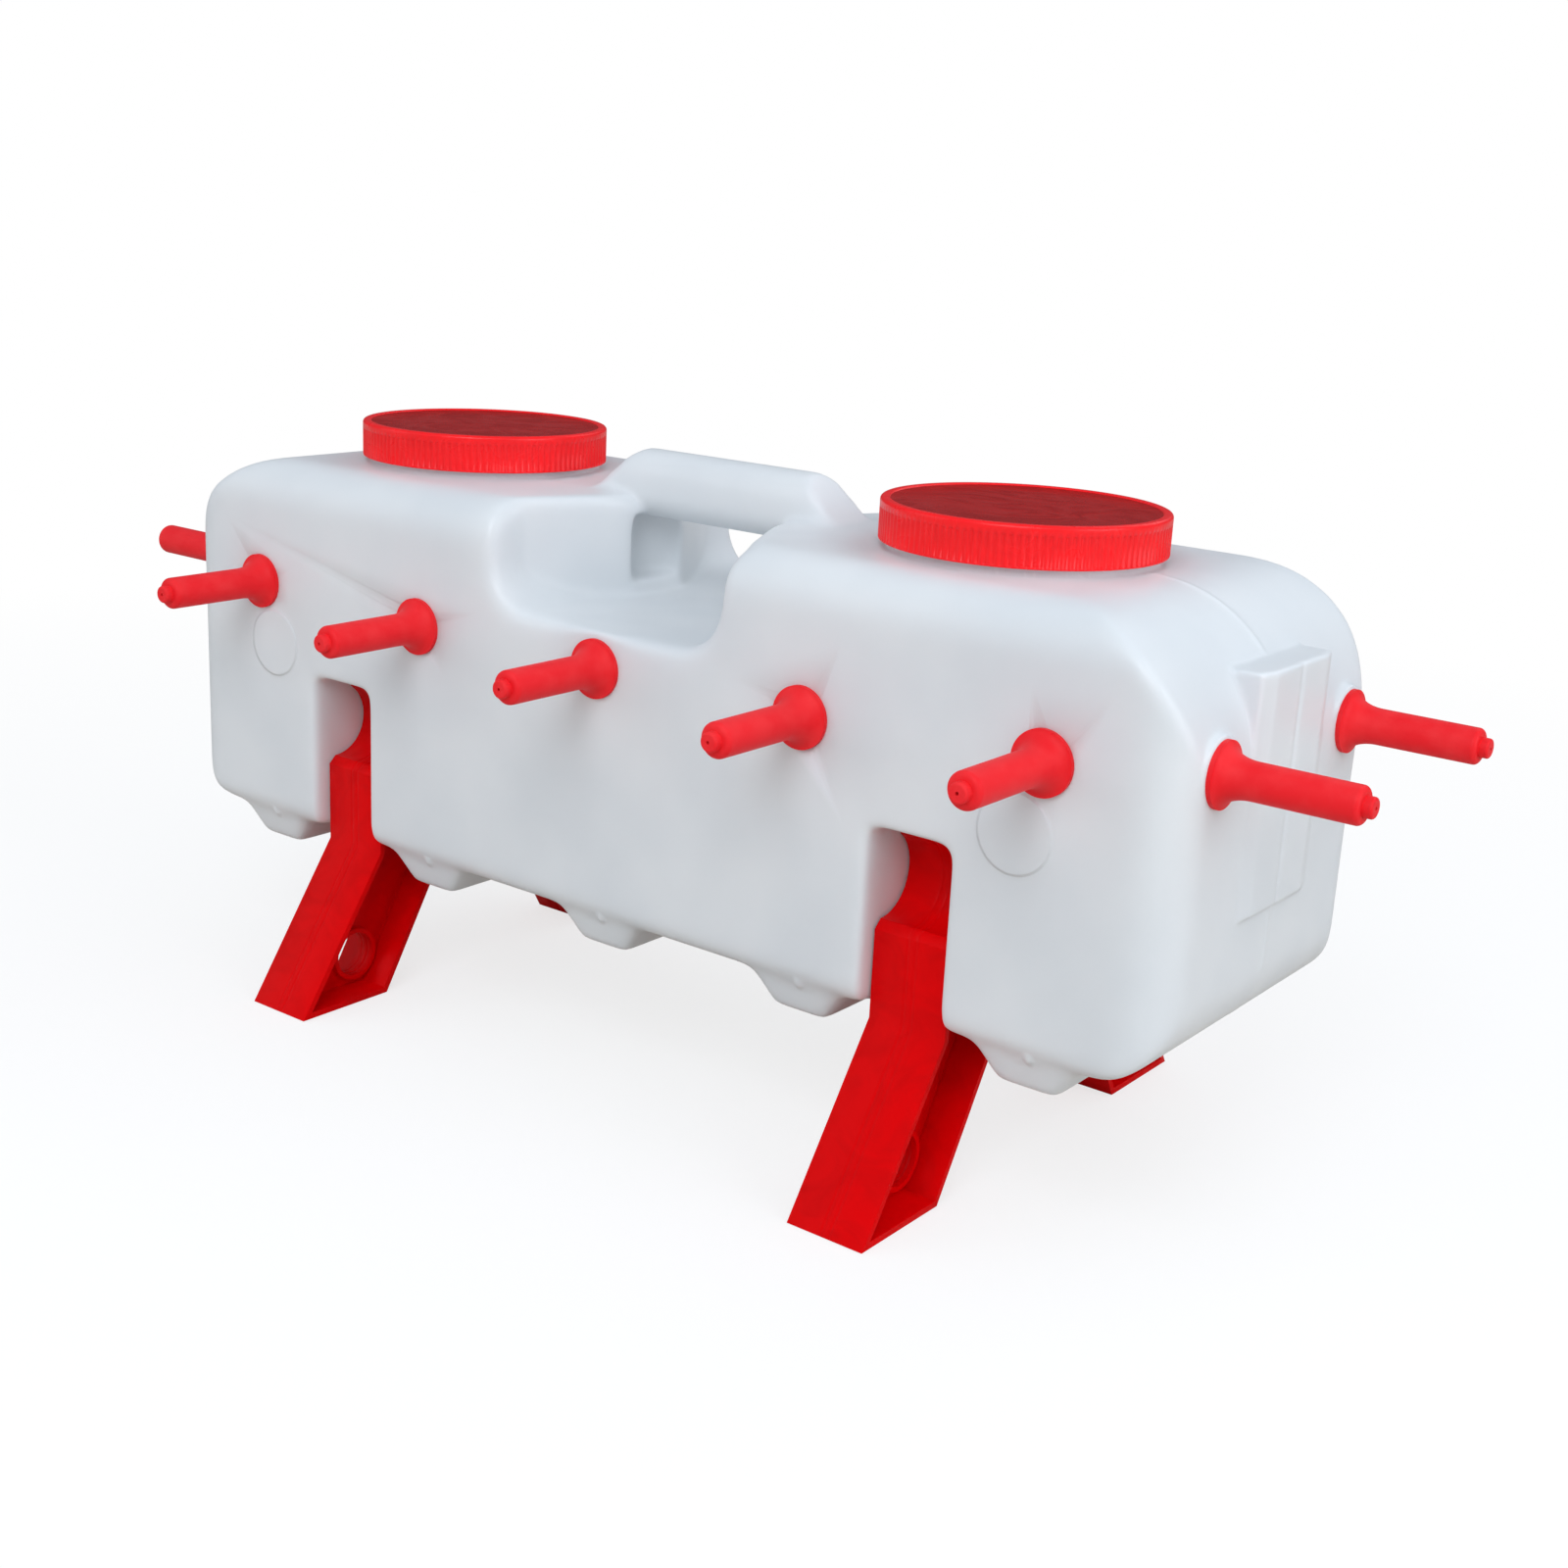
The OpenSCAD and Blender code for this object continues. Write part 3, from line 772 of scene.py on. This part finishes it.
    def build(self, nodes: dict[str, bpy.types.Object], plastic: bpy.types.Material) -> None:
        """Makes the soft-edged tank from copies of the CAD tank's pieces.

        The shell is thinned to its number of triangles last, and then takes its shading
        from the full mesh, so that the flat walls stay without creases.

        Args:
            nodes: The CAD nodes by name.
            plastic: The tank's finish.
        """
        shell = self.join_moulding(nodes)
        apply_modifier(shell, "REMESH", mode="VOXEL", voxel_size=self.voxel * MM, adaptivity=0.0)
        spots = np.empty(len(shell.data.vertices) * 3)
        shell.data.vertices.foreach_get("co", spots)
        spots = spots.reshape(-1, 3) / MM
        soft = self.weigh(shell, "soft", self.softening(spots))
        raised = self.weigh(shell, "raised", self.dimples(spots))
        apply_modifier(shell, "SMOOTH", factor=self.pull, iterations=self.passes, vertex_group=soft)
        apply_modifier(
            shell, "DISPLACE", direction="NORMAL", mid_level=0.0,
            strength=self.dimple_out * MM, vertex_group=raised,
        )
        share = self.triangles / (2 * len(shell.data.polygons))
        shell.vertex_groups.clear()
        hold(shell)
        bpy.ops.object.shade_smooth()
        full = copy_of(shell, "tank_shell_full")
        apply_modifier(shell, "DECIMATE", decimate_type="COLLAPSE", ratio=share)
        apply_modifier(
            shell, "DATA_TRANSFER", object=full, use_loop_data=True,
            data_types_loops={"CUSTOM_NORMAL"}, loop_mapping="POLYINTERP_NEAREST",
        )
        bpy.data.objects.remove(full)
        put_on(shell, plastic, Slot.TANK, "tank", *TANK_NODES)


@dataclass
class ScrewLid:
    """A screw lid with a ribbed skirt and a recessed top. Sizes are in millimetres."""

    side: int
    low_z: float = 354.5
    r: float = 80.7
    height: float = 23.2
    skirt: float = 3.6
    top: float = 4.0
    recess: float = 1.0
    edge: float = 2.0
    edge_steps: tuple[float, ...] = (15, 35, 55, 75, 90)
    foot: float = 0.6
    cut: float = 0.15
    lip: float = 0.5
    rim: float = 1.2
    step: float = 0.2
    middle: float = 0.6
    pole_r: float = 0.001
    bend: float = 1.0
    bend_cut: float = 0.3
    ribs: int = 120
    rib_depth: float = 1.0
    rib_low: float = 1.4
    rib_ease: float = 0.8
    band: float = 5.0
    flute: tuple[float, float] = (0.37, 0.88)
    sharp: float = 40.0
    facing_up: float = 0.7
    near: float = 0.01

    def outside(self) -> list[tuple[float, float]]:
        """Returns radius and height of each ring from the skirt's mouth to the top's middle."""
        inner, high, flute_top = self.r - self.skirt, self.height, self.height - self.band
        rim, low = inner - self.edge, self.height - self.recess
        rise = [
            (self.r - self.edge + self.edge * math.cos(a), high - self.edge + self.edge * math.sin(a))
            for a in map(math.radians, self.edge_steps)
        ]
        return [
            (inner, self.lip), (inner + self.lip, 0.0), (self.r - self.foot, 0.0),
            (self.r - self.cut, self.cut), (self.r, self.foot), (self.r, self.rib_low),
            (self.r, flute_top - self.rib_ease), (self.r, flute_top), (self.r, high - self.edge),
            *rise, (rim + self.rim, high), (rim + self.lip, high - self.cut),
            (rim, low + self.step), (rim - self.lip, low), (rim * self.middle, low),
            (self.pole_r, low),
        ]

    def inside(self) -> list[tuple[float, float]]:
        """Returns radius and height of each ring under the lid, from the mouth to the middle."""
        inner, ceiling = self.r - self.skirt, self.height - self.top
        return [
            (inner, self.lip), (inner, ceiling - self.bend),
            (inner - self.bend_cut, ceiling - self.bend_cut), (inner - self.bend, ceiling),
            ((inner - self.edge) * self.middle, ceiling), (self.pole_r, ceiling),
        ]

    def build(self, plastic: bpy.types.Material, glossy_shaded_top: bpy.types.Material) -> None:
        """Models the lid from rings and draws the flutes between its ribs inward.

        Args:
            plastic: The lid's finish.
            glossy_shaded_top: The finish of its recessed top: glossier, with a darker red that is
                painted shade.
        """
        word = WORDS[SIDES.index(self.side)]
        centre = Vector((self.side * MOUTH_X, 0, self.low_z)) * MM
        corners = 4 * self.ribs
        lid, under = (
            turned_piece(name, centre, [(r * MM, z * MM) for r, z in rings], corners)
            for name, rings in ((f"screw_lid_{word}", self.outside()), ("lid_inside", self.inside()))
        )
        hold(lid)
        under.select_set(True)
        bpy.ops.object.join()
        close_up(lid, self.near)
        self.draw_flutes(lid, centre)
        smooth(lid, self.sharp)
        put_on(lid, plastic, Slot.LID, f"lid_{word}", f"lid_{word}")
        # The recessed top gets a glossier red whose darker colour is painted shade
        lid.data.materials.append(glossy_shaded_top)
        recess_z = (self.low_z + self.height - self.recess) * MM
        for face in lid.data.polygons:
            level = abs(face.center.z - recess_z) < self.step * MM
            face.material_index = 1 if level and face.normal.z > self.facing_up else 0

    def draw_flutes(self, lid: bpy.types.Object, centre: Vector) -> None:
        """Scales every second pair of skirt corners inward.

        Args:
            lid: The lid.
            centre: The middle of its open end, in metres.
        """
        hold(lid)
        bpy.ops.object.mode_set(mode="EDIT")
        bpy.ops.mesh.select_mode(type="VERT")
        bpy.ops.mesh.select_all(action="DESELECT")
        mesh = bmesh.from_edit_mesh(lid.data)
        turn = 2 * math.pi / self.ribs
        low = (self.foot + self.rib_low) / 2
        high = self.height - self.band - self.rib_ease / 2
        for corner in mesh.verts:
            place = corner.co - centre
            if place.xy.length < (self.r - self.near) * MM or not low * MM < place.z < high * MM:
                continue
            share = (math.atan2(place.y, place.x) / turn) % 1.0
            corner.select = self.flute[0] < share < self.flute[1]
        bmesh.update_edit_mesh(lid.data)
        shrink = (self.r - self.rib_depth) / self.r
        bpy.ops.transform.resize(value=(shrink, shrink, 1), center_override=centre)
        bpy.ops.object.mode_set(mode="OBJECT")


@dataclass
class NeckThread:
    """The raised screw thread round a neck. Sizes are in millimetres."""

    side: int
    height: float = 1.1
    low_z: float = 357.5
    pitch: float = 6.0
    turns: float = 1.5
    root_w: float = 2.6
    crest_w: float = 1.2
    sunk: float = 0.4
    steps_a_turn: int = 120
    sharp: float = 35.0

    def build(self, plastic: bpy.types.Material) -> None:
        """Models the thread from one outline that a screw carries up and round.

        Args:
            plastic: The tank's finish.
        """
        root, crest = NECK_R - self.sunk, NECK_R + self.height
        outline = (
            (root, -self.root_w / 2), (crest, -self.crest_w / 2),
            (root, self.root_w / 2), (crest, self.crest_w / 2),
        )
        bpy.ops.object.select_all(action="DESELECT")
        bpy.ops.mesh.primitive_plane_add(size=1, location=(0, 0, 0))
        thread = bpy.context.active_object
        thread.name = thread.data.name = f"neck_thread_{WORDS[SIDES.index(self.side)]}"
        for corner, (r, z) in zip(thread.data.vertices, outline):
            corner.co = (r * MM, 0, z * MM)
        steps = round(self.turns * self.steps_a_turn)
        apply_modifier(
            thread, "SCREW", angle=self.turns * 2 * math.pi,
            screw_offset=self.turns * self.pitch * MM,
            steps=steps, render_steps=steps, use_smooth_shade=False,
        )
        hold(thread)
        bpy.ops.object.mode_set(mode="EDIT")
        bpy.ops.mesh.select_mode(type="EDGE")
        bpy.ops.mesh.select_all(action="DESELECT")
        bpy.ops.mesh.select_non_manifold()
        bpy.ops.mesh.fill()
        bpy.ops.object.mode_set(mode="OBJECT")
        thread.location = Vector((self.side * MOUTH_X, 0, self.low_z)) * MM
        bpy.ops.object.transform_apply(location=True, rotation=True, scale=True)
        close_up(thread)
        smooth(thread, self.sharp)
        put_on(thread, plastic, Slot.TANK, "tank")


@dataclass
class Leg:
    """A moulded leg with slightly rounded edges. Sizes are in millimetres and degrees."""

    row: str
    end: str
    edge: float = 0.9
    sharp: float = 40.0

    def build(self, nodes: dict[str, bpy.types.Object], plastic: bpy.types.Material) -> None:
        """Rounds the edges of a copy of the CAD leg.

        Args:
            nodes: The CAD nodes by name.
            plastic: The legs' finish.
        """
        node = f"leg_{self.row}_{self.end}"
        leg = copy_of(nodes[node], f"moulded_{node}")
        weld(leg)
        apply_modifier(
            leg, "BEVEL", width=self.edge * MM, segments=2, limit_method="ANGLE",
            angle_limit=math.radians(self.sharp), use_clamp_overlap=True,
        )
        smooth(leg, self.sharp)
        put_on(leg, plastic, Slot.LEG, node, node)


@dataclass
class InnerParts:
    """The seals, valves and dip tubes, which keep their CAD shapes."""

    teats: Teats = field(default_factory=Teats)

    def build(
        self, nodes: dict[str, bpy.types.Object], rubber: bpy.types.Material,
        tube: bpy.types.Material, foam: bpy.types.Material,
    ) -> None:
        """Dresses the inner CAD nodes.

        Args:
            nodes: The CAD nodes by name.
            rubber: The valves' finish.
            tube: The dip tubes' finish.
            foam: The seals' finish.
        """
        for name in self.teats.places():
            dress(nodes[f"valve_{name}"], rubber)
            dress(nodes[f"tube_{name}"], tube)
        for word in WORDS:
            dress(nodes[f"seal_{word}"], foam)
        log.info("inner parts dressed")


# The studio


@dataclass(frozen=True)
class Lamp:
    """A square lamp that looks at the feeder. Place and size are in metres, power in watts."""

    name: str
    place: tuple[float, float, float]
    size: float
    power: float


@dataclass
class Studio:
    """The pale floor, soft lamps and camera. Places are in metres, angles in degrees."""

    camera_place: tuple[float, float, float] = (0.7886, -0.9851, 0.5384)
    azimuth: float = 36.72
    elevation: float = 16.17
    roll: float = 2.95
    lens_mm: float = 47.21
    sensor_mm: float = 36.0
    floor_seen: str = "FAFAFA"
    floor_bounce: str = "C8C0B6"
    floor_size: float = 60.0
    floor_z: float = -0.0005
    near: float = 0.55
    far: float = 1.6
    near_white: float = 0.72
    world_colour: str = "F0F7FF"
    world_low: float = 0.55
    world_high: float = 0.70
    world_in_gloss: float = 0.18
    lamp_colour: str = "F2F8FF"
    lamp_aim: tuple[float, float, float] = (0.0, 0.0, 0.2)
    lamps: tuple[Lamp, ...] = (
        Lamp("key_lamp", (0.9, -2.0, 2.0), 1.6, 35),
        Lamp("right_lamp", (2.7, 0.1, 1.2), 1.8, 28),
        Lamp("fill_lamp", (-2.0, -1.8, 1.2), 2.0, 10),
        Lamp("rear_lamp", (0.4, 2.4, 2.2), 2.0, 10),
    )

    def camera(self) -> None:
        """Puts the camera where the photograph was taken from."""
        data = bpy.data.cameras.new("photo_camera")
        data.lens = self.lens_mm
        data.sensor_width = self.sensor_mm
        camera = bpy.data.objects.new("photo_camera", data)
        bpy.context.scene.collection.objects.link(camera)
        turn, tip, roll = map(math.radians, (self.azimuth, self.elevation, self.roll))
        level = math.cos(tip)
        back = Vector((math.sin(turn) * level, -math.cos(turn) * level, math.sin(tip)))
        right = (-back).cross(Vector((0, 0, 1))).normalized()
        up = right.cross(-back)
        across = right * math.cos(roll) + up * math.sin(roll)
        high = -right * math.sin(roll) + up * math.cos(roll)
        axes = Matrix((across, high, back)).transposed().to_4x4()
        camera.matrix_world = Matrix.Translation(Vector(self.camera_place)) @ axes
        bpy.context.scene.camera = camera

    def hang(self, lamp: Lamp) -> None:
        """Hangs one lamp.

        Args:
            lamp: What it is and where it hangs.
        """
        data = bpy.data.lights.new(lamp.name, "AREA")
        data.size = lamp.size
        data.energy = lamp.power
        data.color = linear(self.lamp_colour)[:3]
        light = bpy.data.objects.new(lamp.name, data)
        bpy.context.scene.collection.objects.link(light)
        light.location = lamp.place
        light.rotation_mode = "QUATERNION"
        aim = Vector(self.lamp_aim) - Vector(lamp.place)
        light.rotation_quaternion = aim.to_track_quat("-Z", "Y")

    def floor(self) -> None:
        """Lays the pale floor.

        The camera sees its shadow near the feeder and plain white further out. Other
        rays meet a greyer floor, which throws less light up at the feeder.
        """
        bpy.ops.object.select_all(action="DESELECT")
        bpy.ops.mesh.primitive_plane_add(size=self.floor_size, location=(0, 0, self.floor_z))
        floor = bpy.context.active_object
        floor.name = "studio_floor"
        material, tree, spot = blank_material("matt_paper")
        seen = add_node(tree, "LightPath", {}, {}).outputs["Is Camera Ray"]
        tint = add_node(
            tree, "Mix",
            {"data_type": "RGBA", MIX_FIRST: linear(self.floor_bounce),
             MIX_SECOND: linear(self.floor_seen)},
            {0: seen},
        )
        paper = add_node(tree, "BsdfDiffuse", {}, {"Color": tint.outputs[MIX_OUT]})
        away = add_node(tree, "VectorMath", {"operation": "LENGTH"}, {0: spot})
        fade = add_node(
            tree, "MapRange",
            {"From Min": self.near, "From Max": self.far, "To Min": self.near_white},
            {"Value": away.outputs["Value"]},
        )
        share = add_node(tree, "Math", {"operation": "MULTIPLY"}, {0: fade, 1: seen})
        white = add_node(tree, "Emission", {"Strength": 1.0}, {})
        both = add_node(tree, "MixShader", {}, {0: share, 1: paper, 2: white})
        add_node(tree, "OutputMaterial", {}, {"Surface": both})
        dress(floor, material)

    def sky(self) -> None:
        """Sets a pale world, brighter overhead, that the camera sees as white.

        Glossy surfaces mirror it dimmer, as they would a room's darker walls.
        """
        world = bpy.data.worlds.new("studio")
        bpy.context.scene.world = world
        world.use_nodes = True
        tree = world.node_tree
        tree.nodes.clear()
        way = add_node(tree, "TexCoord", {}, {}).outputs["Generated"]
        height = add_node(tree, "SeparateXYZ", {}, {0: way}).outputs["Z"]
        ray = add_node(tree, "LightPath", {}, {})
        dim = add_node(
            tree, "MapRange", {"To Min": 1.0, "To Max": self.world_in_gloss},
            {"Value": ray.outputs["Is Glossy Ray"]},
        )
        glow = add_node(
            tree, "MapRange",
            {"From Min": -0.1, "From Max": 0.9, "To Min": self.world_low, "To Max": self.world_high},
            {"Value": height},
        )
        power = add_node(tree, "Math", {"operation": "MULTIPLY"}, {0: glow, 1: dim})
        plain = add_node(
            tree, "Background", {"Color": linear(self.world_colour)}, {"Strength": power}
        )
        white = add_node(tree, "Background", {"Color": (1.0, 1.0, 1.0, 1.0), "Strength": 1.0}, {})
        seen = add_node(
            tree, "MixShader", {}, {0: ray.outputs["Is Camera Ray"], 1: plain, 2: white}
        )
        add_node(tree, "OutputWorld", {}, {"Surface": seen})

    def build(self) -> None:
        """Sets up the whole studio."""
        self.camera()
        self.floor()
        self.sky()
        for lamp in self.lamps:
            self.hang(lamp)
        bpy.context.scene.view_settings.view_transform = "Standard"


def main() -> None:
    """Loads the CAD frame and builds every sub-assembly."""
    logging.basicConfig(level=logging.INFO, format="%(name)s: %(message)s")
    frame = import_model()
    nodes = frame["nodes"]
    Studio().build()
    tank_plastic = BlowMouldedHdpe().build()
    Tank().build(nodes, tank_plastic)
    lid_plastic = MouldedPolypropylene("lid_polypropylene", "FA1A20", "EE151B", 0.3).build()
    # The lid's recessed top is the same red plastic, made glossier, and its darker red is painted
    # shade
    shaded_lid_top = MouldedPolypropylene(
        "lid_top_shaded_polypropylene", "B01212", "980D0D", 0.24, shine=0.06,
        flow_mm=46.0, flow_depth_mm=0.6, swirl=3.4,
    ).build()
    for side in SIDES:
        ScrewLid(side).build(lid_plastic, shaded_lid_top)
        NeckThread(side).build(tank_plastic)
    leg_plastic = MouldedPolypropylene(
        "leg_polypropylene", "DE0105", "CE0104", 0.38, shine=0.06, sink_x_mm=LEG_X
    ).build()
    for row in ("front", "back"):
        for end in WORDS:
            Leg(row, end).build(nodes, leg_plastic)
    Teats().build(nodes, MouldedRubber("teat_rubber", "EA1E26", "EE2E33").build())
    InnerParts().build(
        nodes,
        MouldedRubber("valve_rubber", "26272A", "303236").build(),
        ExtrudedPolyethylene("dip_tube_polyethylene", "D4DCE0", "C4CED4", 0.3, 0.35).build(),
        ExtrudedPolyethylene("seal_foam", "E4E2DC", "D2D0CA", 0.75).build(),
    )


if __name__ == "__main__":
    main()
